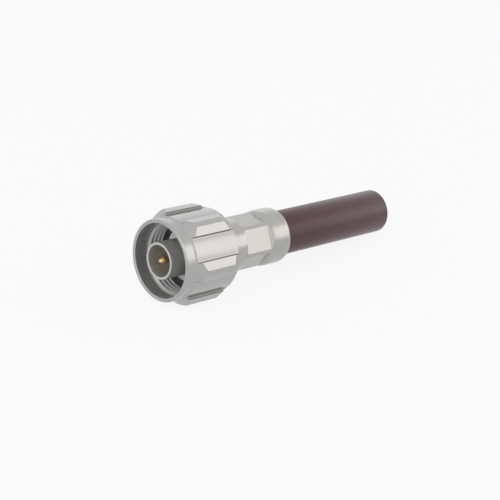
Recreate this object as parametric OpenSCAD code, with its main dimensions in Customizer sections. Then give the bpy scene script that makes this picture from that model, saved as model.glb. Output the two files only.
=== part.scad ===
// Coaxial plug, series N, crimped on a 10 mm double-braid cable.
// Every piece is turned about one axis. The profiles are drawn as [radius, distance], where the
// distance runs from the mating plane (the front face of the outer contact) towards the cable.
// On the finished part that axis is +Y: the plug mates towards -Y, and +Z is up.

/* [Mating face] */
// Bore of the outer contact, the size of the coaxial line
line_d = 7.0; // [6.8:0.05:7.2]
// Wall of the outer contact's nose
nose_wall = 0.525; // [0.4:0.025:0.7]
// Wall that the outer contact gains where it sits in the body
root_step = 0.25; // [0.15:0.05:0.4]
// Diameter of the centre pin
pin_d = 1.65; // [1.5:0.05:1.8]
// Diameter at the very tip of the centre pin
tip_d = 0.8; // [0.5:0.1:1.1]
// Length of the taper at the tip
tip_taper = 0.95; // [0.6:0.05:1.4]
// Distance of the pin's tip behind the mating plane
tip_setback = 0.25; // [0.1:0.05:0.5]
// Distance of the pin's shoulder behind the mating plane
shoulder_setback = 5.35; // [4.8:0.05:5.9]
// Diameter of the centre contact behind the shoulder
shaft_d = 3.04; // [2.9:0.02:3.2]
// Distance of the gasket's front face behind the mating plane
gasket_setback = 7.7; // [7.3:0.1:8.2]
// Thickness of the gasket
gasket_t = 1.6; // [1.2:0.1:2]
// Outer diameter of the gasket
gasket_d = 12.3; // [11.9:0.1:12.7]

/* [Coupling nut] */
// Distance of the nut's rim behind the mating plane
nut_setback = 0.2; // [0:0.05:0.6]
// Length of the nut
nut_len = 14.4; // [14:0.1:15]
// Hexagon across flats
nut_af = 19; // [18.9:0.1:19.6]
// Diameter that the hexagon's corners are turned down to
nut_corner_d = 21.2; // [20.8:0.1:21.6]
// Diameter of the barrel that shows between the pads of each flat
barrel_d = 18.5; // [18.2:0.1:18.7]
// Width of the channel between the two pads of a flat, at the barrel
channel_w = 5.3; // [4.6:0.1:5.8]
// Width that each side of the channel gains at the pad's face
channel_flare = 0.25; // [0.1:0.05:0.4]
// Diameter of the round collar at the rim
collar_d = 18; // [17.6:0.1:18.2]
// Length of the round collar
collar_len = 2.35; // [1.8:0.05:2.8]
// Length of the cone between the collar and the corners
nut_cone = 1.95; // [1.4:0.05:2.4]
// Length of the cone at the rear of the corners
tail_cone = 1.65; // [1.2:0.05:2.2]
// Diameter of the turned lip at the rear
lip_d = 18.7; // [18.4:0.1:19]
// Length of the lip
lip_len = 0.6; // [0.4:0.05:0.9]
// Diameter of the plain bore in front of the thread
mouth_d = 16.2; // [16:0.05:16.4]
// Depth of the plain bore
mouth_depth = 3.1; // [2.6:0.1:3.6]
// Major diameter of the 5/8-24 coupling thread
thread_d = 15.875; // [15.8:0.025:15.95]
// Length of the thread
thread_len = 4.8; // [4:0.1:5.4]
// Diameter of the relief behind the thread
relief_d = 16.4; // [16:0.1:16.8]
// Thickness of the nut's rear wall, which runs on the body
nut_wall = 4.1; // [3.4:0.1:4.8]
// Chamfer on the nut's outer edges
nut_edge = 0.15; // [0.05:0.05:0.25]

/* [Retaining ring] */
// Radial width of the ring
ring_w = 0.8; // [0.7:0.05:0.85]
// Thickness of the ring
ring_t = 0.85; // [0.6:0.05:1]
// Distance of the ring's middle from the nut's rear face
ring_inset = 2.1; // [1.7:0.1:2.4]
// Width of the slit in the ring
ring_slit = 1.6; // [1:0.1:2.4]
// Depth of the ring's groove in the body
ring_groove = 0.8; // [0.7:0.05:0.9]

/* [Body] */
// Diameter of the body where the nut runs and behind it
neck_d = 12.1; // [11.9:0.05:12.4]
// Distance of the body's rear shoulder behind the mating plane
neck_end = 20.5; // [19.6:0.1:21.2]
// Depth of the seat that the outer contact is pressed into
root_seat = 3.7; // [3.2:0.1:4.2]
// Wall of the spigot that goes under the braid
spigot_wall = 0.4; // [0.3:0.05:0.5]
// Length of the spigot
spigot_len = 8.5; // [7.8:0.1:8.9]
// Chamfer on the body's edges
body_edge = 0.15; // [0.05:0.05:0.25]

/* [Insulators and centre contact] */
// Length of the front insulator
bead_len = 4.0; // [3.4:0.1:4.4]
// Depth of the step that the front insulator rests against
bead_step = 0.2; // [0.1:0.05:0.25]
// Diameter of the collar that locks the centre contact
lock_d = 4.3; // [4:0.1:5]
// Wall of the cup that the conductor is crimped or soldered in
cup_wall = 0.5; // [0.4:0.05:0.7]
// Depth of the cup
cup_depth = 3.7; // [3:0.1:3.8]
// Diameter of the inspection hole in the cup
inspection_d = 0.8; // [0.6:0.1:1]
// Length of the rear insulator
washer_len = 3.9; // [3.5:0.1:4.4]

/* [Crimp ferrule] */
// Length of the ferrule
ferrule_len = 13.5; // [13.2:0.1:14.4]
// Wall of the ferrule where it isn't crimped
ferrule_wall = 1.45; // [1.2:0.05:1.6]
// Crimped hexagon across flats
crimp_af = 10.9; // [10.6:0.1:11.3]
// Length of the crimped flats
crimp_len = 7.25; // [6.8:0.05:7.7]
// Length of the ramp from the flats up to the round end
crimp_ramp = 1.1; // [0.8:0.1:1.4]
// Turn of the crimped hexagon against the nut's
crimp_turn = 7; // [0:1:29]
// Length of the rounding at the ferrule's rear
mouth_round = 1.5; // [1:0.1:1.9]
// Height of that rounding
mouth_drop = 0.95; // [0.5:0.05:0.95]

/* [Cable] */
// Length of cable behind the ferrule
cable_len = 33.8; // [20:0.1:80]
// Diameter of one strand of the centre conductor
strand_d = 0.78; // [0.7:0.01:0.8]
// Diameter of the dielectric
dielectric_d = 7.24; // [7.1:0.02:7.3]
// Thickness of one braid
braid_t = 0.34; // [0.28:0.02:0.4]
// Thickness of one braid where the ferrule presses it on the spigot
braid_crimped_t = 0.25; // [0.2:0.01:0.28]
// Wall of the jacket
jacket_wall = 0.68; // [0.55:0.01:0.75]
// How far the ferrule presses the jacket in, on the radius
jacket_squeeze = 0.2; // [0.16:0.01:0.26]

/* [Clearances] */
// Radial gap between the nut and the body it turns on
running_gap = 0.1; // [0.06:0.01:0.15]
// Gap between the retaining ring and the sides of a groove
ring_gap = 0.1; // [0.05:0.01:0.15]
// Radial gap between pieces that sit fast in each other
seat_gap = 0.02; // [0.01:0.005:0.03]

/* [Hidden] */
$fn = 96;

plated = [0.76, 0.75, 0.73];
gold = [0.80, 0.62, 0.30];
white_plastic = [0.93, 0.93, 0.90];
grey_rubber = [0.70, 0.71, 0.72];
maroon = [0.24, 0.17, 0.17];
silver = [0.80, 0.80, 0.80];
spring_bronze = [0.66, 0.52, 0.34];

far = 30;          // reaches past every outside surface of the part
overrun = 1;       // how far a cutting tool runs past an end face

// Outer contact
nose_r = line_d / 2 + nose_wall;
root_r = nose_r + root_step;
root_start = gasket_setback - 0.15;
root_end = gasket_setback + gasket_t + root_seat;
bead_r = line_d / 2 + bead_step;

// Insulators and centre contact, from the rear of the outer contact
lock_t = 0.8;      // thickness of the centre contact's collar
lock_start = root_end - lock_t;
bead_start = lock_start - bead_len;
conductor_r = strand_d * 1.5;
cup_r = conductor_r + 0.05;
washer_end = root_end + washer_len;

// Body
neck_r = neck_d / 2;
shoulder_z = gasket_setback + gasket_t;
line_bore_r = dielectric_d / 2 + 0.05;
spigot_r = line_bore_r + spigot_wall;
spigot_end = neck_end + spigot_len;

// Nut and retaining ring
nut_end = nut_setback + nut_len;
nut_bore_r = neck_r + running_gap;
ring_z = nut_end - ring_inset;
ring_out_r = nut_bore_r + ring_w / 2;
ring_in_r = ring_out_r - ring_w;
nut_groove_r = ring_out_r + ring_gap;

// Cable
inner_braid_r = dielectric_d / 2 + seat_gap;
outer_braid_r = inner_braid_r + braid_t + seat_gap;
jacket_in_r = outer_braid_r + braid_t + seat_gap;
jacket_r = jacket_in_r + jacket_wall;
inner_crimped_r = spigot_r + seat_gap;
outer_crimped_r = inner_crimped_r + braid_crimped_t + seat_gap;
braid_start = neck_end + 0.2;
flare_start = spigot_end + 0.1;
flare_end = flare_start + 1.3;
jacket_start = flare_end + 0.3;

// Ferrule
ferrule_end = neck_end + ferrule_len;
crimp_bore_r = outer_crimped_r + braid_crimped_t + seat_gap;
mouth_bore_r = jacket_r - jacket_squeeze + seat_gap;
ferrule_r = mouth_bore_r + ferrule_wall;
crimp_end = neck_end + crimp_len;
crimp_r = crimp_af / 2;
cable_end = ferrule_end + cable_len;

// Turns a piece drawn along +Z to lie along +Y
module along_y() {
    rotate([-90, 0, 0]) children();
}

// A solid turned from a profile of [radius, distance] points
module turned(profile) {
    rotate_extrude() polygon(profile);
}

// A tube between two distances
module tube(r_in, r_out, z0, z1) {
    turned([[r_in, z0], [r_out, z0], [r_out, z1], [r_in, z1]]);
}

// Six prisms whose section is a profile in the plane of the axis, one facing each flat
module six_flats(profile, width) {
    for (k = [0:5])
        rotate([0, 0, 30 + 60 * k])
            rotate([90, 0, 0])
                linear_extrude(height = width, center = true)
                    polygon(profile);
}

// A quarter of an ellipse, from the outside of the round end down to its mouth
function round_over(r, z, drop, length, steps = 10) = [
    for (i = [0:steps])
        let (a = 90 * i / steps)
        [r - drop * (1 - cos(a)), z + length * sin(a)]
];

// Outline of the nut before its hexagon is milled
module nut_blank() {
    e = nut_edge;
    cone_end = nut_setback + collar_len + nut_cone;
    tail_start = nut_end - lip_len - tail_cone;
    turned([
        [0, nut_setback],
        [collar_d / 2 - e, nut_setback],
        [collar_d / 2, nut_setback + e],
        [collar_d / 2, nut_setback + collar_len],
        [nut_corner_d / 2, cone_end],
        [nut_corner_d / 2, tail_start],
        [lip_d / 2, tail_start + tail_cone],
        [lip_d / 2, nut_end - e],
        [lip_d / 2 - e, nut_end],
        [0, nut_end]
    ]);
}

// The channel in the middle of one flat, seen along the axis
module channel() {
    floor_x = barrel_d / 2 - 1;
    face_x = nut_af / 2;
    half_w = channel_w / 2;
    linear_extrude(height = far)
        polygon([
            [floor_x, -half_w], [face_x, -half_w - channel_flare],
            [face_x + 1, -half_w - channel_flare], [face_x + 1, half_w + channel_flare],
            [face_x, half_w + channel_flare], [floor_x, half_w]
        ]);
}

// Everything that is bored out of the nut
module nut_bore() {
    mouth_end = nut_setback + mouth_depth;
    thread_end = mouth_end + thread_len;
    wall_start = nut_end - nut_wall;
    groove_half = ring_t / 2 + ring_gap;
    lead = 0.2;
    turned([
        [0, nut_setback - overrun],
        [mouth_d / 2 + lead, nut_setback - overrun],
        [mouth_d / 2 + lead, nut_setback],
        [mouth_d / 2, nut_setback + lead],
        [mouth_d / 2, mouth_end],
        [thread_d / 2, mouth_end],
        [thread_d / 2, thread_end],
        [relief_d / 2, thread_end],
        [relief_d / 2, wall_start],
        [nut_bore_r, wall_start],
        [nut_bore_r, ring_z - groove_half],
        [nut_groove_r, ring_z - groove_half],
        [nut_groove_r, ring_z + groove_half],
        [nut_bore_r, ring_z + groove_half],
        [nut_bore_r, nut_end - lead],
        [nut_bore_r + lead, nut_end],
        [nut_bore_r + lead, nut_end + overrun],
        [0, nut_end + overrun]
    ]);
}

module coupling_nut() {
    color(plated) along_y()
        difference() {
            intersection() {
                nut_blank();
                union() {
                    translate([0, 0, nut_setback]) cylinder(d = barrel_d, h = nut_len);
                    difference() {
                        cylinder(r = nut_af / 2 / cos(30), h = far, $fn = 6);
                        for (k = [0:5]) rotate([0, 0, 30 + 60 * k]) channel();
                    }
                }
            }
            nut_bore();
        }
}

module retaining_ring() {
    color(spring_bronze) along_y()
        difference() {
            tube(ring_in_r, ring_out_r, ring_z - ring_t / 2, ring_z + ring_t / 2);
            translate([0, -ring_slit / 2, ring_z - far / 2]) cube([far, ring_slit, far]);
        }
}

module gasket() {
    r_in = root_r + seat_gap;
    r_out = gasket_d / 2;
    e = 0.2;
    color(grey_rubber) along_y()
        turned([
            [r_in, gasket_setback], [r_out - e, gasket_setback], [r_out, gasket_setback + e],
            [r_out, shoulder_z], [r_in, shoulder_z]
        ]);
}

module outer_contact() {
    e = 0.1;
    color(plated) along_y()
        turned([
            [line_d / 2 + e, 0], [nose_r - e, 0], [nose_r, e], [nose_r, root_start],
            [root_r, root_start], [root_r, root_end], [bead_r, root_end],
            [bead_r, bead_start], [line_d / 2, bead_start], [line_d / 2, e]
        ]);
}

module body() {
    e = body_edge;
    seat_r = root_r + seat_gap;
    groove_half = ring_t / 2 + ring_gap / 2;
    groove_r = neck_r - ring_groove;
    color(plated) along_y()
        turned([
            [seat_r, shoulder_z],
            [neck_r - e, shoulder_z],
            [neck_r, shoulder_z + e],
            [neck_r, ring_z - groove_half],
            [groove_r, ring_z - groove_half],
            [groove_r, ring_z + groove_half],
            [neck_r, ring_z + groove_half],
            [neck_r, neck_end - e],
            [neck_r - e, neck_end],
            [spigot_r, neck_end],
            [spigot_r, spigot_end - 1],
            [spigot_r - 0.2, spigot_end],
            [line_bore_r, spigot_end],
            [line_bore_r, root_end],
            [seat_r, root_end]
        ]);
}

module front_insulator() {
    color(white_plastic) along_y()
        tube(shaft_d / 2 + seat_gap, bead_r - seat_gap, bead_start, lock_start);
}

module rear_insulator() {
    color(white_plastic) along_y()
        tube(cup_r + cup_wall + seat_gap, line_bore_r - seat_gap, root_end, washer_end);
}

module centre_contact() {
    e = 0.15;
    cup_out_r = cup_r + cup_wall;
    color(gold) along_y()
        difference() {
            turned([
                [0, tip_setback],
                [tip_d / 2 - 0.15, tip_setback],
                [tip_d / 2, tip_setback + 0.1],
                [pin_d / 2, tip_setback + tip_taper],
                [pin_d / 2, shoulder_setback],
                [shaft_d / 2 - e, shoulder_setback],
                [shaft_d / 2, shoulder_setback + e],
                [shaft_d / 2, lock_start],
                [lock_d / 2, lock_start],
                [lock_d / 2, root_end],
                [cup_out_r, root_end],
                [cup_out_r, washer_end],
                [0, washer_end]
            ]);
            translate([0, 0, washer_end - cup_depth]) cylinder(r = cup_r, h = far);
            translate([0, 0, washer_end - cup_depth + inspection_d])
                rotate([0, 90, 0]) cylinder(d = inspection_d, h = far);
        }
}

module crimp_ferrule() {
    bore_step = 1;
    round_start = ferrule_end - mouth_round;
    color(plated) along_y() rotate([0, 0, crimp_turn])
        difference() {
            turned(concat(
                [
                    [crimp_bore_r, neck_end],
                    [neck_r - body_edge, neck_end],
                    [neck_r, neck_end + body_edge],
                    [neck_r, crimp_end],
                    [ferrule_r, crimp_end + crimp_ramp]
                ],
                round_over(ferrule_r, round_start, mouth_drop, mouth_round),
                [
                    [mouth_bore_r, ferrule_end],
                    [mouth_bore_r, flare_start + bore_step],
                    [crimp_bore_r, flare_start]
                ]
            ));
            six_flats([
                [crimp_r, neck_end - overrun],
                [crimp_r, crimp_end],
                [crimp_r + crimp_ramp, crimp_end + crimp_ramp],
                [far, crimp_end + crimp_ramp],
                [far, neck_end - overrun]
            ], 2 * ferrule_r);
        }
}

module cable_jacket() {
    squeezed_r = jacket_r - jacket_squeeze;
    color(maroon) along_y()
        turned([
            [jacket_in_r, jacket_start],
            [squeezed_r, jacket_start],
            [squeezed_r, ferrule_end],
            [jacket_r, ferrule_end],
            [jacket_r, cable_end],
            [jacket_in_r, cable_end]
        ]);
}

// A braid lies on the dielectric, widens at the spigot and is pressed flat on it
module braid(crimped_r, r) {
    turned([
        [crimped_r, braid_start],
        [crimped_r + braid_crimped_t, braid_start],
        [crimped_r + braid_crimped_t, flare_start],
        [r + braid_t, flare_end],
        [r + braid_t, cable_end],
        [r, cable_end],
        [r, flare_end],
        [crimped_r, flare_start]
    ]);
}

module outer_braid() {
    color(silver) along_y() braid(outer_crimped_r, outer_braid_r);
}

module inner_braid() {
    color(silver) along_y() braid(inner_crimped_r, inner_braid_r);
}

module cable_dielectric() {
    color(white_plastic) along_y()
        tube(conductor_r + seat_gap, dielectric_d / 2, washer_end, cable_end);
}

module conductor_strands() {
    start = washer_end - cup_depth + 0.1;
    pitch_r = strand_d + 0.005;
    color(silver) along_y()
        for (k = [0:6])
            rotate([0, 0, 60 * k])
                translate([k == 6 ? 0 : pitch_r, 0, start])
                    cylinder(d = strand_d, h = cable_end - start);
}

coupling_nut();
retaining_ring();
gasket();
outer_contact();
body();
front_insulator();
rear_insulator();
centre_contact();
crimp_ferrule();
cable_jacket();
outer_braid();
inner_braid();
cable_dielectric();
conductor_strands();
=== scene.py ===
import math

import bpy
from mathutils import Matrix, Vector


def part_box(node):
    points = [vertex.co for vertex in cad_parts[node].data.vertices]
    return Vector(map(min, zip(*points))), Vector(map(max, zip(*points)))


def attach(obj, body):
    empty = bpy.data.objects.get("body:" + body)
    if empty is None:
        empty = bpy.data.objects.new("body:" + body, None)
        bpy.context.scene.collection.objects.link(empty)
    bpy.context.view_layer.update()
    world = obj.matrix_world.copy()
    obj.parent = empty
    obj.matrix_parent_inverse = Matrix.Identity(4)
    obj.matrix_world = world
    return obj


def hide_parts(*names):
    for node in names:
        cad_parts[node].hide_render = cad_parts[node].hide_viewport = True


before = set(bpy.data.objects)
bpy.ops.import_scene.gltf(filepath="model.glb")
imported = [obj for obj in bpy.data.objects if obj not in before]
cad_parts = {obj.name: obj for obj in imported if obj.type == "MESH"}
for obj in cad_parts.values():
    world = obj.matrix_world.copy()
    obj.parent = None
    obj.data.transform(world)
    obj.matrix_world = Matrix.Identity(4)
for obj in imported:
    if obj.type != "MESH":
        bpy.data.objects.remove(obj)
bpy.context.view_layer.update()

# Everything is in metres. The plug's axis is Y: the mating plane is at 0 and the cable runs towards +Y.
# Outlines are lists of (radius, distance from the mating plane, fillet) in millimetres.
mm = 0.001
axisOrigin = (0.0, 0.0, 0.0)
axisWay = (0.0, 1.0, 0.0)


# modelling helpers

def deselectAll():
    if bpy.context.object and bpy.context.object.mode != "OBJECT":
        bpy.ops.object.mode_set(mode="OBJECT")
    bpy.ops.object.select_all(action="DESELECT")


def pick(piece):
    deselectAll()
    piece.select_set(True)
    bpy.context.view_layer.objects.active = piece
    return piece


def edit(piece, mode="VERT"):
    pick(piece)
    bpy.ops.object.mode_set(mode="EDIT")
    bpy.ops.mesh.select_mode(type=mode)


def selectVerts(piece, test):
    # selects the corners whose place passes the test, and goes back to edit mode
    bpy.ops.mesh.select_all(action="DESELECT")
    bpy.ops.object.mode_set(mode="OBJECT")
    for v in piece.data.vertices:
        v.select = bool(test(v.co))
    bpy.ops.object.mode_set(mode="EDIT")


def selectFaces(piece, test):
    bpy.ops.mesh.select_all(action="DESELECT")
    bpy.ops.object.mode_set(mode="OBJECT")
    for f in piece.data.polygons:
        f.select = bool(test(f.center, f.normal))
    bpy.ops.object.mode_set(mode="EDIT")


def applyPlace(piece):
    pick(piece)
    bpy.ops.object.transform_apply(location=True, rotation=True, scale=True)


def modify(piece, kind, **settings):
    pick(piece)
    bpy.ops.object.modifier_add(type=kind)
    made = piece.modifiers[-1]
    for key, value in settings.items():
        setattr(made, key, value)
    bpy.ops.object.modifier_apply(modifier=made.name)
    return piece


def cut(piece, tool, how="DIFFERENCE"):
    modify(piece, "BOOLEAN", operation=how, solver="EXACT", object=tool)
    bpy.data.objects.remove(tool)
    return piece


def merged(pieces, name):
    deselectAll()
    for p in pieces:
        p.select_set(True)
    bpy.context.view_layer.objects.active = pieces[0]
    if len(pieces) > 1:
        bpy.ops.object.join()
    bpy.context.object.name = name
    return bpy.context.object


def clean(piece, gap=2e-6):
    edit(piece)
    bpy.ops.mesh.select_all(action="SELECT")
    bpy.ops.mesh.remove_doubles(threshold=gap)
    bpy.ops.mesh.dissolve_degenerate(threshold=gap)
    bpy.ops.mesh.select_all(action="SELECT")
    bpy.ops.mesh.normals_make_consistent(inside=False)
    bpy.ops.object.mode_set(mode="OBJECT")


def smooth(piece, angle=32):
    pick(piece)
    bpy.ops.object.shade_smooth_by_angle(angle=math.radians(angle))


def turnedPiece(name, outline, steps=144, rounded=3, closed=True):
    # one vertex is drawn out along the outline, the corners get their fillets, and the wire is spun
    deselectAll()
    bpy.ops.mesh.primitive_plane_add(size=mm, location=axisOrigin)
    piece = bpy.context.object
    piece.name = name
    piece.data.name = name
    edit(piece)
    bpy.ops.mesh.merge(type="CENTER")
    bpy.ops.transform.translate(value=(outline[0][0] * mm, outline[0][1] * mm, 0))
    for here, there in zip(outline, outline[1:]):
        step = ((there[0] - here[0]) * mm, (there[1] - here[1]) * mm, 0)
        bpy.ops.mesh.extrude_region_move(TRANSFORM_OT_translate={"value": step})
    if closed:
        ends = [Vector((outline[i][0] * mm, outline[i][1] * mm, 0)) for i in (0, -1)]
        selectVerts(piece, lambda co: min((co - e).length for e in ends) < 1e-7)
        bpy.ops.mesh.edge_face_add()
    for size in sorted({p[2] for p in outline if len(p) > 2 and p[2] > 0}):
        corners = [Vector((p[0] * mm, p[1] * mm, 0)) for p in outline if len(p) > 2 and p[2] == size]
        selectVerts(piece, lambda co: min((co - c).length for c in corners) < 1e-7)
        bpy.ops.mesh.bevel(offset=size * mm, segments=rounded, affect="VERTICES")
    bpy.ops.mesh.select_all(action="SELECT")
    bpy.ops.mesh.spin(steps=steps, angle=math.tau, center=axisOrigin, axis=axisWay)
    bpy.ops.object.mode_set(mode="OBJECT")
    clean(piece)
    return piece


def finishPiece(piece, body, slot, material, *nodes, angle=32, flats=False):
    applyPlace(piece)
    smooth(piece, angle)
    if flats:
        modify(piece, "WEIGHTED_NORMAL", mode="FACE_AREA", weight=100, keep_sharp=True)
    piece.data.materials.clear()
    piece.data.materials.append(material)
    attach(piece, body)
    if nodes:
        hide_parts(*nodes)
    print("made", piece.name, len(piece.data.polygons), "faces")
    return piece


# material helpers

class Sock:
    # one value in a material, so that sums can be written out

    def __init__(self, shader, out):
        self.shader = shader
        self.out = out

    def math(self, operation, *others, swap=False, **settings):
        values = [self, *others]
        if swap:
            values.reverse()
        return self.shader.node("ShaderNodeMath", {"operation": operation, **settings}, *values)

    def __add__(self, other):
        return self.math("ADD", other)

    def __sub__(self, other):
        return self.math("SUBTRACT", other)

    def __mul__(self, other):
        return self.math("MULTIPLY", other)

    def __pow__(self, other):
        return self.math("POWER", other)

    def __rsub__(self, other):
        return self.math("SUBTRACT", other, swap=True)

    __radd__ = __add__
    __rmul__ = __mul__

    def clamped(self, low=0.0, high=1.0):
        return self.shader.node("ShaderNodeClamp", {}, self, low, high)

    def between(self, low, high, toLow=0.0, toHigh=1.0):
        return self.shader.node("ShaderNodeMapRange", {}, self, low, high, toLow, toHigh)


class Shader:
    # a material and the one method that adds any of its nodes

    def __init__(self, name, tree=None):
        if tree is None:
            self.material = bpy.data.materials.new(name)
            self.material.use_nodes = True
            tree = self.material.node_tree
        self.tree = tree
        self.tree.nodes.clear()

    def node(self, kind, settings=None, *values, out=0, **named):
        made = self.tree.nodes.new(kind)
        for key, value in (settings or {}).items():
            if key == "stops":
                ramp = made.color_ramp.elements
                while len(ramp) < len(value):
                    ramp.new(0.5)
                for element, (place, colour) in zip(ramp, value):
                    element.position = place
                    element.color = (*colour, 1.0)
            else:
                setattr(made, key, value)
        sockets = list(zip(made.inputs, values))
        sockets += [(made.inputs[key.replace("_", " ")], value) for key, value in named.items()]
        for socket, value in sockets:
            if value is None:
                continue
            if isinstance(value, Sock):
                self.tree.links.new(value.out, socket)
            else:
                socket.default_value = value
        return Sock(self, made.outputs[out]) if made.outputs else None

    def place(self):
        return self.node("ShaderNodeTexCoord", out=3)

    def rays(self):
        made = self.node("ShaderNodeLightPath")
        return {socket.name: Sock(self, socket) for socket in made.out.node.outputs}

    def split(self, vector):
        made = self.node("ShaderNodeSeparateXYZ", {}, vector)
        return [Sock(self, socket) for socket in made.out.node.outputs]

    def join(self, x, y, z):
        return self.node("ShaderNodeCombineXYZ", {}, x, y, z)

    def noise(self, vector, scale, detail=3.0, rough=0.5, **settings):
        return self.node("ShaderNodeTexNoise", settings, Vector=vector, Scale=scale, Detail=detail,
                         Roughness=rough)

    def mix(self, factor, one, other, blend="MIX"):
        made = self.tree.nodes.new("ShaderNodeMix")
        made.data_type = "RGBA"
        made.blend_type = blend
        for socket, value in ((made.inputs[0], factor), (made.inputs[6], one), (made.inputs[7], other)):
            if isinstance(value, Sock):
                self.tree.links.new(value.out, socket)
            else:
                plain = isinstance(value, tuple) and len(value) == 3
                socket.default_value = (*value, 1.0) if plain else value
        return Sock(self, made.outputs[2])

    def bump(self, height, distance, strength=1.0, normal=None):
        return self.node("ShaderNodeBump", {}, Height=height, Distance=distance, Strength=strength,
                         Normal=normal)

    def surface(self, **inputs):
        shade = self.node("ShaderNodeBsdfPrincipled", {}, **inputs)
        self.node("ShaderNodeOutputMaterial", {}, shade)
        return self.material


print("helpers ready")


# camera, floor and light

viewing = {"place": (217.96, -199.07, 115.89), "aim": (1.08, 26.08, -1.98), "roll": 6.45, "lens": 108.0}

deselectAll()
bpy.ops.object.camera_add(location=Vector(viewing["place"]) * mm)
camera = bpy.context.object
camera.name = "viewCamera"
camera.data.lens = viewing["lens"]
camera.data.clip_start = 0.01
back = (Vector(viewing["place"]) - Vector(viewing["aim"])).normalized()
level = Vector((0, 0, 1)).cross(back).normalized()
turn = Matrix.Rotation(-math.radians(viewing["roll"]), 3, -back)
right = turn @ level
up = back.cross(right)
looking = Matrix((right, up, back)).transposed().to_4x4()
camera.matrix_world = Matrix.Translation(Vector(viewing["place"]) * mm) @ looking
bpy.context.scene.camera = camera
bpy.context.scene.view_settings.view_transform = "Standard"

# the plug lies on a flat of its nut and on the end of its cable, so the floor leans by a few degrees
ground = {"size": 6.0, "nutTouch": (13.23, -9.5), "cableTouch": (67.8, -5.04), "colour": (0.90, 0.90, 0.90),
          "white": 0.88}
lean = math.atan2(ground["cableTouch"][1] - ground["nutTouch"][1],
                  ground["cableTouch"][0] - ground["nutTouch"][0])


def floorHeight(y):
    return (ground["nutTouch"][1] + (y - ground["nutTouch"][0]) * math.tan(lean)) * mm


floorShader = Shader("paleFloor")
outs = floorShader.rays()
seen = (outs["Is Camera Ray"] + outs["Is Glossy Ray"] + outs["Is Transmission Ray"]).clamped()
matt = floorShader.node("ShaderNodeBsdfDiffuse", {}, Color=(*ground["colour"], 1.0))
bright = floorShader.node("ShaderNodeEmission", {}, Color=(1, 1, 1, 1), Strength=1.0)
floorShader.node("ShaderNodeOutputMaterial", {},
                 floorShader.node("ShaderNodeMixShader", {}, seen * ground["white"], matt, bright))

deselectAll()
bpy.ops.mesh.primitive_plane_add(size=ground["size"], location=(0, 0, floorHeight(0)), rotation=(lean, 0, 0))
floor = bpy.context.object
floor.name = "studioFloor"
floor.data.materials.append(floorShader.material)

studio = {"room": (0.58, 0.59, 0.60), "centre": (0.0, 20.0, 0.0)}
world = bpy.data.worlds.new("studioWorld")
bpy.context.scene.world = world
world.use_nodes = True
worldShader = Shader("studioWorldNodes", world.node_tree)
outs = worldShader.rays()
seen = (outs["Is Camera Ray"] + outs["Is Glossy Ray"] + outs["Is Transmission Ray"]).clamped()
room = worldShader.node("ShaderNodeBackground", {}, Color=(*studio["room"], 1.0))
white = worldShader.node("ShaderNodeBackground", {}, Color=(1, 1, 1, 1))
worldShader.node("ShaderNodeOutputWorld", {}, worldShader.node("ShaderNodeMixShader", {}, seen, room, white))

lamps = [
    {"name": "keyPanel", "way": (0.633, 0.674, 0.380), "up": (-0.51, 0.0, 0.86), "far": 0.6,
     "size": (0.50, 0.37), "glow": 0.85, "colour": (1.0, 0.93, 0.87)},
    {"name": "leftPanel", "way": (-0.69, 0.66, 0.27), "up": (0, 0, 1), "far": 0.6, "size": (0.34, 0.36),
     "glow": 0.24, "colour": (0.95, 0.98, 1.0)},
    {"name": "frontPanel", "way": (0.356, -0.799, 0.485), "up": (0, 0, 1), "far": 0.6, "size": (0.57, 0.30),
     "glow": 0.7, "colour": (1.0, 1.0, 0.98)},
    {"name": "mouthPanel", "way": (0.05, -0.98, 0.20), "up": (0, 0, 1), "far": 0.6, "size": (0.34, 0.34),
     "glow": 1.7, "colour": (1.0, 1.0, 0.98)},
    {"name": "rearPanel", "way": (0.15, 0.97, 0.15), "up": (0, 0, 1), "far": 0.6, "size": (0.34, 0.30),
     "glow": 0.8, "colour": (1.0, 0.99, 0.97)},
]


def facing(way, above):
    # a turn whose Z points along way, with Y as near to above as it goes
    z = Vector(way).normalized()
    x = Vector(above).cross(z).normalized()
    return Matrix((x, z.cross(x), z)).transposed().to_4x4()


for lamp in lamps:
    way = Vector(lamp["way"]).normalized()
    deselectAll()
    bpy.ops.object.light_add(type="AREA")
    made = bpy.context.object
    made.name = lamp["name"]
    spot = Vector(studio["centre"]) * mm + way * lamp["far"]
    made.matrix_world = Matrix.Translation(spot) @ facing(way, lamp["up"])
    made.data.shape = "RECTANGLE"
    made.data.size, made.data.size_y = lamp["size"]
    made.data.energy = lamp["glow"] * math.pi * lamp["size"][0] * lamp["size"][1]
    made.data.color = lamp["colour"]

print("camera, floor and light ready")


# materials

finish = {"broad": 650.0, "specks": 2600.0, "drift": 0.34, "edge": 20000.0, "millFrom": 0.0087,
          "millStart": 0.0028, "millReach": 3.4, "millShadeTone": 0.66}


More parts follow.
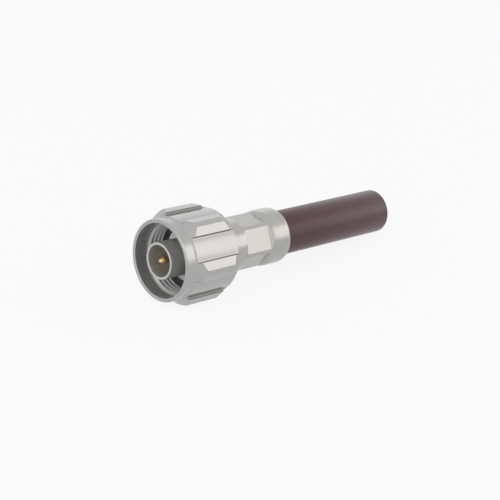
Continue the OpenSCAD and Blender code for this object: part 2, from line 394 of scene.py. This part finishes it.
def platedMetal(name, tint, rough, lines=0.0, mottle=0.0, lineScale=9000.0, dullWithin=0.0, dull=(0.72, 0.42),
                milled=None):
    # fine turning lines run round the axis, and mottle is the slight unevenness of a plated milled face:
    # within the radius dullWithin the plating is as thin and matt as it is down a deep bore, and milled gives
    # the half width of six channels whose walls are rougher and carry painted shade, a darker colour where
    # shade falls
    s = Shader(name)
    place = s.place()
    x, y, z = s.split(place)
    radius = (x * x + z * z) ** 0.5
    rings = s.noise(s.join(radius * 1.0, y * 1.0, 0.0), lineScale, detail=2.0)
    broad = s.noise(place, finish["broad"], detail=3.0)
    specks = s.noise(place, finish["specks"], detail=2.0)
    tone = 1.0 + (broad - 0.5) * finish["drift"] + (specks - 0.5) * mottle
    low = tuple(c * k for c, k in zip(tint, (0.78, 0.80, 0.83)))
    high = tuple(min(1.0, c * k) for c, k in zip(tint, (1.22, 1.20, 1.17)))
    colour = s.mix((tone - 0.5).clamped(), low, high)
    roughness = (rough + (broad - 0.5) * 0.10 + (specks - 0.5) * mottle * 0.5).clamped(0.05, 1.0)
    metallic = 1.0
    if dullWithin:
        inner = ((dullWithin - radius) * finish["edge"]).clamped()
        metallic = 1.0 - inner * (1.0 - dull[0])
        roughness = roughness + inner * (dull[1] - rough)
    if milled:
        around = z.math("ARCTAN2", x).math("FLOORED_MODULO", math.pi / 3) - math.pi / 6
        beside = (radius * around.math("SINE")).math("ABSOLUTE") - milled
        outer = ((radius - finish["millFrom"]) * finish["edge"]).clamped()
        outer = outer * ((y - finish["millStart"]) * (finish["edge"] / 2)).clamped()
        # painted shade: the channel walls and the fillets at their feet get a darker colour where shade falls
        # in the channels; the added roughness is their duller finish
        wall = (finish["millReach"] - beside.math("ABSOLUTE") * finish["edge"]).clamped() * outer
        colour = s.mix(wall, colour, tuple(c * finish["millShadeTone"] for c in tint))
        roughness = roughness + wall * 0.3
    height = rings * lines + specks * (mottle * 2.0)
    return s.surface(Base_Color=colour, Metallic=metallic, Roughness=roughness,
                     Normal=s.bump(height, 0.00004, 0.35))


metals = {
    "nutPlate": platedMetal("nutPlate", (0.42, 0.415, 0.405), 0.26, lines=0.25, mottle=0.20,
                            dullWithin=0.0083, milled=0.0027),
    "tubePlate": platedMetal("tubePlate", (0.54, 0.54, 0.51), 0.24, lines=0.3, dullWithin=0.01),
    "bodyPlate": platedMetal("bodyPlate", (0.41, 0.405, 0.40), 0.24, lines=0.35),
    "ferrulePlate": platedMetal("ferrulePlate", (0.42, 0.41, 0.395), 0.28, lines=0.15, mottle=0.25),
    "springBronze": platedMetal("springBronze", (0.55, 0.38, 0.20), 0.3, lines=0.1),
    "goldPlate": platedMetal("goldPlate", (0.76, 0.54, 0.30), 0.2, lines=0.2),
}


def softPlastic(name, tint, rough, grain=0.3, grainScale=3000.0, drift=0.06, coat=0.0):
    s = Shader(name)
    place = s.place()
    broad = s.noise(place, 150.0, detail=3.0)
    fine = s.noise(place, grainScale, detail=3.0)
    low = tuple(c * (1 - drift) for c in tint)
    high = tuple(min(1.0, c * (1 + drift)) for c in tint)
    colour = s.mix(broad.between(0.3, 0.7), low, high)
    roughness = (rough + (fine - 0.5) * 0.12).clamped(0.05, 1.0)
    return s.surface(Base_Color=colour, Roughness=roughness, Coat_Weight=coat,
                     Normal=s.bump(fine * grain, 0.00003, 0.5))


plastics = {
    "greySilicone": softPlastic("greySilicone", (0.84, 0.85, 0.85), 0.6),
    "whiteBead": softPlastic("whiteBead", (0.84, 0.84, 0.80), 0.45),
    "whiteCore": softPlastic("whiteCore", (0.82, 0.82, 0.78), 0.5),
}


def cableSkin(name, tint):
    # extruded jacket: faint streaks along the cable
    s = Shader(name)
    x, y, z = s.split(s.place())
    streaks = s.noise(s.join(x, y * 0.04, z), 2500.0, detail=3.0)
    broad = s.noise(s.join(x, y * 0.4, z), 160.0, detail=2.0)
    low = tuple(c * 0.9 for c in tint)
    high = tuple(c * 1.12 for c in tint)
    colour = s.mix(broad.between(0.3, 0.7), low, high)
    roughness = (0.36 + (streaks - 0.5) * 0.16).clamped(0.05, 1.0)
    return s.surface(Base_Color=colour, Roughness=roughness, Normal=s.bump(streaks, 0.00004, 0.4))


jacketBrown = cableSkin("jacketBrown", (0.075, 0.028, 0.032))
silverWire = platedMetal("silverWire", (0.74, 0.74, 0.72), 0.28)
print("materials ready")


# coupling nut

nut = {"front": 0.2, "rear": 14.6, "collar": 9.0, "collarEnd": 2.55, "coneEnd": 4.5, "corner": 10.6,
       "tailStart": 12.35, "tailEnd": 14.0, "lip": 9.35, "flats": 19.0, "barrel": 9.25, "channel": 2.72,
       "flare": 0.09, "cutter": 0.42, "mouth": 8.1, "mouthEnd": 3.3, "mouthEdge": 0.12, "threadBore": 7.9375,
       "threadEnd": 8.1, "relief": 8.2, "wallStart": 10.5, "bore": 6.15, "groove": 6.65,
       "grooveSides": (11.975, 13.025), "edge": 0.09, "millLength": 21.0, "millStart": -3.0}

blank = turnedPiece("nutBlank", [
    (nut["mouth"] + nut["mouthEdge"], nut["front"], 0), (nut["collar"], nut["front"], 0.28),
    (nut["collar"], nut["collarEnd"], 0.12), (nut["corner"], nut["coneEnd"], 0.12),
    (nut["corner"], nut["tailStart"], 0.12), (nut["lip"], nut["tailEnd"], 0.1),
    (nut["lip"], nut["rear"], 0.15), (nut["bore"], nut["rear"], 0.18),
    (nut["bore"], nut["grooveSides"][1], 0), (nut["groove"], nut["grooveSides"][1], 0),
    (nut["groove"], nut["grooveSides"][0], 0), (nut["bore"], nut["grooveSides"][0], 0),
    (nut["bore"], nut["wallStart"], 0.1), (nut["relief"], nut["wallStart"], 0.25),
    (nut["relief"], nut["threadEnd"], 0), (nut["threadBore"], nut["threadEnd"], 0),
    (nut["threadBore"], nut["mouthEnd"], 0.0), (nut["mouth"], nut["mouthEnd"], 0),
    (nut["mouth"], nut["front"] + nut["mouthEdge"], 0),
])

# the milling shape: a hexagon with a channel along each flat, whose floor is round and whose corners are
# left by a round cutter
outline = []
flat = nut["flats"] / 2
footAngle = math.asin(nut["channel"] / nut["barrel"])
floorSteps = 8
for k in range(6):
    middle = math.radians(30 + 60 * k)
    corner = flat / math.cos(math.pi / 6)
    outline.append((corner, middle - math.pi / 6, "corner"))
    halfTop = nut["channel"] + nut["flare"]
    wallTop = (math.hypot(flat, halfTop), math.atan2(halfTop, flat))
    outline.append((wallTop[0], middle - wallTop[1], "top"))
    for step in range(floorSteps + 1):
        kind = "foot" if step in (0, floorSteps) else "floor"
        outline.append((nut["barrel"], middle - footAngle + 2 * footAngle * step / floorSteps, kind))
    outline.append((wallTop[0], middle + wallTop[1], "top"))
spots = [(Vector((r * math.cos(a), nut["millStart"], r * math.sin(a))) * mm, kind) for r, a, kind in outline]
places = [spot for spot, kind in spots]
deselectAll()
bpy.ops.mesh.primitive_plane_add(size=mm, location=axisOrigin)
pads = bpy.context.object
edit(pads)
bpy.ops.mesh.merge(type="CENTER")
bpy.ops.transform.translate(value=places[0])
for here, there in zip(places, places[1:]):
    bpy.ops.mesh.extrude_region_move(TRANSFORM_OT_translate={"value": there - here})
selectVerts(pads, lambda co: min((co - e).length for e in (places[0], places[-1])) < 1e-7)
bpy.ops.mesh.edge_face_add()
feet = [spot for spot, kind in spots if kind == "foot"]
selectVerts(pads, lambda co: min((co - foot).length for foot in feet) < 1e-7)
bpy.ops.mesh.bevel(offset=nut["cutter"] * mm, segments=5, affect="VERTICES")
bpy.ops.mesh.select_all(action="SELECT")
bpy.ops.mesh.edge_face_add()
bpy.ops.mesh.extrude_region_move(TRANSFORM_OT_translate={"value": (0, nut["millLength"] * mm, 0)})
bpy.ops.object.mode_set(mode="OBJECT")
clean(pads)
couplingNut = cut(blank, pads, "INTERSECT")
couplingNut.name = "couplingNut"
clean(couplingNut, 8e-6)
modify(couplingNut, "BEVEL", width=nut["edge"] * mm, segments=2, limit_method="ANGLE",
       angle_limit=math.radians(28), use_clamp_overlap=True, miter_outer="MITER_ARC")
clean(couplingNut, 1e-6)
finishPiece(couplingNut, "nut", "plated_nut", metals["nutPlate"], "coupling_nut", flats=True)

# coupling thread: one tooth, drawn along a helix inside the nut

thread = {"pitch": 25.4 / 24, "root": 7.98, "crest": 7.37, "start": 3.55, "turns": 4.1, "middle": 7.7,
          "rootHalf": 0.94, "crestHalf": 0.13, "steps": 96}
deselectAll()
bpy.ops.mesh.primitive_plane_add(size=mm, location=(thread["middle"] * mm, thread["start"] * mm, 0))
couplingThread = bpy.context.object
couplingThread.name = "couplingThread"
applyPlace(couplingThread)
half = thread["pitch"] / 2
corners = ((1, 1, "root"), (1, -1, "root"), (-1, 1, "crest"), (-1, -1, "crest"))


def atCorner(co, sideX, sideY):
    return (co.x - thread["middle"] * mm) * sideX > 0 and (co.y - thread["start"] * mm) * sideY > 0


edit(couplingThread)
for sideX, sideY, level in corners:
    selectVerts(couplingThread, lambda co: atCorner(co, sideX, sideY))
    spot = next(v.co.copy() for v in couplingThread.data.vertices if atCorner(v.co, sideX, sideY))
    goal = (thread[level] * mm, (thread["start"] + sideY * thread[level + "Half"] * half) * mm)
    bpy.ops.transform.translate(value=(goal[0] - spot.x, goal[1] - spot.y, 0))
bpy.ops.object.mode_set(mode="OBJECT")
threadSteps = int(thread["steps"] * thread["turns"])
modify(couplingThread, "SCREW", axis="Y", angle=math.tau * thread["turns"],
       screw_offset=thread["pitch"] * thread["turns"] * mm, steps=threadSteps, render_steps=threadSteps,
       use_merge_vertices=False)
edit(couplingThread)  # both ends are closed
bpy.ops.mesh.select_all(action="SELECT")
bpy.ops.mesh.fill_holes(sides=0)
bpy.ops.object.mode_set(mode="OBJECT")
clean(couplingThread, 1e-7)
finishPiece(couplingThread, "nut", "plated_nut", metals["nutPlate"], angle=25)

# outer contact, gasket and centre pin

outerTube = turnedPiece("outerTube", [
    (3.5, 0, 0.1), (4.025, 0, 0.1), (4.025, 7.55, 0.03), (4.275, 7.55, 0.05), (4.275, 13.0, 0.05),
    (3.7, 13.0, 0.05), (3.7, 8.2, 0.02), (3.5, 8.2, 0.02),
])
finishPiece(outerTube, "plug", "plated_contact", metals["tubePlate"], "outer_contact")

faceGasket = turnedPiece("faceGasket", [
    (4.295, 7.7, 0.12), (6.15, 7.7, 0.25), (6.15, 9.3, 0.1), (4.295, 9.3, 0.05),
])
finishPiece(faceGasket, "plug", "gasket_rubber", plastics["greySilicone"], "gasket")

centrePin = turnedPiece("centrePin", [
    (0, 0.25, 0), (0.3, 0.25, 0.1), (0.42, 0.42, 0.1), (0.825, 1.2, 0.3), (0.825, 5.35, 0.06),
    (1.52, 5.35, 0.15), (1.52, 12.2, 0), (2.15, 12.2, 0.05), (2.15, 13.0, 0.05), (1.72, 13.0, 0),
    (1.72, 16.9, 0.05), (1.22, 16.9, 0.05), (1.22, 13.2, 0), (0, 13.2, 0),
], steps=96, closed=False)
finishPiece(centrePin, "plug", "gold_plate", metals["goldPlate"], "centre_contact")

# body neck

bodyTurned = turnedPiece("bodyTurned", [
    (4.295, 9.3, 0.05), (6.05, 9.3, 0.15), (6.05, 12.025, 0.02), (5.25, 12.025, 0), (5.25, 12.975, 0),
    (6.05, 12.975, 0.02), (6.05, 20.5, 0.15), (4.07, 20.5, 0), (4.07, 28.0, 0), (3.87, 29.0, 0.03),
    (3.67, 29.0, 0.03), (3.67, 13.0, 0), (4.295, 13.0, 0),
])
finishPiece(bodyTurned, "plug", "plated_body", metals["bodyPlate"], "body")

# crimped ferrule

ferrule = {"front": 20.5, "rear": 34.0, "neck": 6.05, "round": 6.31, "flat": 5.45, "crimpEnd": 27.75,
           "ramp": 1.1, "turn": 7.0, "rounding": 1.5, "drop": 0.95, "edge": 0.16, "crimpBore": 4.63,
           "mouthBore": 4.86, "jaw": (4.0, 10.0, 14.0)}
curve = []
for degrees in range(0, 91, 6):
    a = math.radians(degrees)
    curve.append((ferrule["round"] - ferrule["drop"] * (1 - math.cos(a)),
                  ferrule["rear"] - ferrule["rounding"] * (1 - math.sin(a)), 0))
crimpSleeve = turnedPiece("sleeveBlank", [
    (ferrule["crimpBore"], ferrule["front"], 0), (ferrule["neck"], ferrule["front"], 0.15),
    (ferrule["neck"], ferrule["crimpEnd"], 0.3),
    (ferrule["round"], ferrule["crimpEnd"] + ferrule["ramp"], 0.3), *curve,
    (ferrule["mouthBore"], ferrule["rear"], 0.08), (ferrule["mouthBore"], 30.1, 0),
    (ferrule["crimpBore"], 29.1, 0),
])
for k in range(6):
    deselectAll()
    deep, long, wide = ferrule["jaw"]
    jawPlace = ((ferrule["flat"] + deep / 2) * mm, (ferrule["crimpEnd"] - long / 2) * mm, 0)
    bpy.ops.mesh.primitive_cube_add(size=mm, location=jawPlace, scale=(deep, long, wide))
    jaw = bpy.context.object
    applyPlace(jaw)
    edit(jaw)
    selectVerts(jaw, lambda co: co.y > (ferrule["crimpEnd"] - 1) * mm and co.x > (ferrule["flat"] + 1) * mm)
    bpy.ops.transform.translate(value=(0, deep * mm, 0))
    bpy.ops.object.mode_set(mode="OBJECT")
    jaw.rotation_euler = (0, math.radians(30 + 60 * k + ferrule["turn"]), 0)
    applyPlace(jaw)
    cut(crimpSleeve, jaw)
crimpSleeve.name = "crimpSleeve"
clean(crimpSleeve, 8e-6)
modify(crimpSleeve, "BEVEL", width=ferrule["edge"] * mm, segments=3, limit_method="ANGLE",
       angle_limit=math.radians(15), use_clamp_overlap=True)
finishPiece(crimpSleeve, "plug", "plated_ferrule", metals["ferrulePlate"], "crimp_ferrule", flats=True)

# cable

cable = {"start": 30.7, "end": 67.8, "jacket": 5.04, "squeezed": 4.84, "jacketBore": 4.36}
cableSheath = turnedPiece("cableSheath", [
    (cable["jacketBore"], cable["start"], 0), (cable["squeezed"], cable["start"], 0),
    (cable["squeezed"], ferrule["rear"], 0), (cable["jacket"], ferrule["rear"] + 0.12, 0.1),
    (cable["jacket"], cable["end"], 0.06), (cable["jacketBore"], cable["end"], 0.05),
])
finishPiece(cableSheath, "plug", "jacket", jacketBrown, "cable_jacket")

# the cut end: two braids whose wires end in rows, the dielectric and the seven strands

braid = {"wall": 0.34, "pressedWall": 0.25, "start": 20.7, "flareStart": 29.1, "flareEnd": 30.4,
         "recess": 0.35, "wire": 0.15, "sides": 8, "wireLength": 0.9, "wireRound": 0.04,
         "rows": (0.27, 0.73), "packed": 0.93}
layers = [
    {"name": "innerBraid", "node": "inner_braid", "inside": 3.64, "pressed": 4.09},
    {"name": "outerBraid", "node": "outer_braid", "inside": 4.0, "pressed": 4.36},
]


def wireRow(name, radius, count):
    # one rounded wire end, then a ring of them by an array that turns about the cable's axis
    deselectAll()
    middle = (radius * mm, (cable["end"] - braid["wireLength"] / 2) * mm, 0)
    bpy.ops.mesh.primitive_cylinder_add(vertices=braid["sides"], radius=braid["wire"] / 2 * mm,
                                        depth=braid["wireLength"] * mm, location=middle,
                                        rotation=(math.pi / 2, 0, 0))
    row = bpy.context.object
    row.name = name
    applyPlace(row)
    edit(row, "FACE")
    selectFaces(row, lambda c, n: n.y > 0.9)
    bpy.ops.mesh.bevel(offset=braid["wireRound"] * mm, segments=2, affect="EDGES")
    bpy.ops.object.mode_set(mode="OBJECT")
    bpy.ops.object.empty_add(location=axisOrigin, rotation=(0, math.tau / count, 0))
    turner = bpy.context.object
    modify(row, "ARRAY", count=count, use_relative_offset=False, use_object_offset=True,
           offset_object=turner)
    bpy.data.objects.remove(turner)
    return row


for layer in layers:
    inside, outer = layer["inside"], layer["inside"] + braid["wall"]
    pressed = layer["pressed"]
    sleeveEnd = cable["end"] - braid["recess"]
    tube = turnedPiece(layer["name"] + "Tube", [
        (pressed, braid["start"], 0), (pressed + braid["pressedWall"], braid["start"], 0),
        (pressed + braid["pressedWall"], braid["flareStart"], 0), (outer, braid["flareEnd"], 0),
        (outer, sleeveEnd, 0), (inside, sleeveEnd, 0), (inside, braid["flareEnd"], 0),
        (pressed, braid["flareStart"], 0),
    ], steps=96)
    rows = []
    for share in braid["rows"]:
        radius = inside + braid["wall"] * share
        count = int(math.tau * radius / braid["wire"] * braid["packed"])
        rows.append(wireRow(layer["name"] + "Row", radius, count))
    made = merged([tube, *rows], layer["name"])
    finishPiece(made, "plug", "silvered_braid", silverWire, layer["node"])

core = {"radius": 3.62, "bore": 1.19, "recess": 0.1}
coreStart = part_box("cable_dielectric")[0][1] / mm
coreEnd = cable["end"] - core["recess"]
cableCore = turnedPiece("cableCore", [
    (core["bore"], coreStart, 0), (core["radius"], coreStart, 0), (core["radius"], coreEnd, 0.08),
    (core["bore"], coreEnd, 0.05),
], steps=96)
finishPiece(cableCore, "plug", "dielectric", plastics["whiteCore"], "cable_dielectric")

strand = {"across": 0.78, "pitch": 0.785, "around": 6, "round": 0.09}
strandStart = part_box("conductor_strands")[0][1] / mm
strandLength = cable["end"] - strandStart
strands = []
for k in range(strand["around"] + 1):
    angle = math.radians(60 * k)
    away = strand["pitch"] if k < strand["around"] else 0
    deselectAll()
    middle = Vector((away * math.cos(angle), strandStart + strandLength / 2, away * math.sin(angle))) * mm
    bpy.ops.mesh.primitive_cylinder_add(vertices=32, radius=strand["across"] / 2 * mm,
                                        depth=strandLength * mm, rotation=(math.pi / 2, 0, 0), location=middle)
    wire = bpy.context.object
    applyPlace(wire)
    edit(wire, "FACE")
    selectFaces(wire, lambda c, n: n.y > 0.9)
    bpy.ops.mesh.bevel(offset=strand["round"] * mm, segments=3, affect="EDGES")
    bpy.ops.object.mode_set(mode="OBJECT")
    strands.append(wire)
coreStrands = merged(strands, "coreStrands")
finishPiece(coreStrands, "plug", "silvered_strand", silverWire, "conductor_strands")

# three solids are right as they are and only get their finish

kept = {"retaining_ring": metals["springBronze"], "front_insulator": plastics["whiteBead"],
        "rear_insulator": plastics["whiteBead"]}
for node, material in kept.items():
    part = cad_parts[node]
    part.data.materials.clear()
    part.data.materials.append(material)

# update the scene

bpy.context.view_layer.update()
